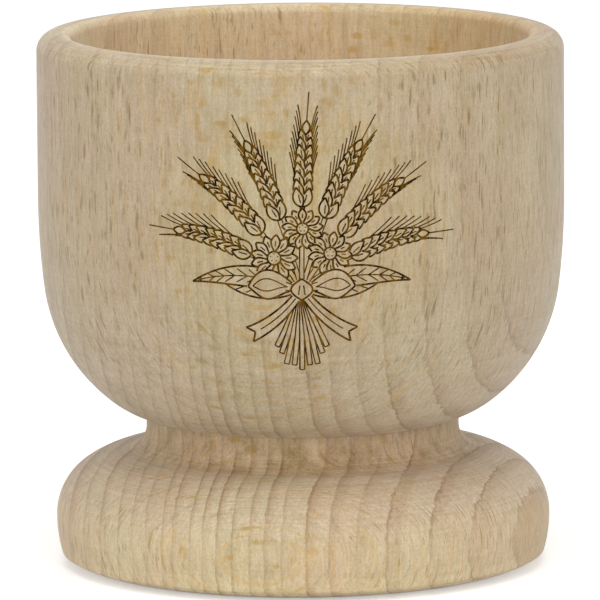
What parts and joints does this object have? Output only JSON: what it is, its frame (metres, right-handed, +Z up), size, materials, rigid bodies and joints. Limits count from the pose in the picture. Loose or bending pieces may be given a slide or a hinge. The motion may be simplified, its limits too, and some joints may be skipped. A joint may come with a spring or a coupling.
{
  "type": "egg cup",
  "caption": "Turned beech egg cup: an upright cup with a round underside on a narrow neck and a bead-shaped foot.",
  "frame": {"origin": "centre of the flat underside, on the surface that the cup stands on", "axes": "+Z up along the turning axis; the decorated front of the bowl faces -Y"},
  "size_m": [0.0492, 0.0492, 0.05],
  "materials": {
    "beech": "sanded bare wood, matt"
  },
  "bodies": {
    "root": {"bowl": "beech", "foot": "beech"}
  },
  "joints": []
}
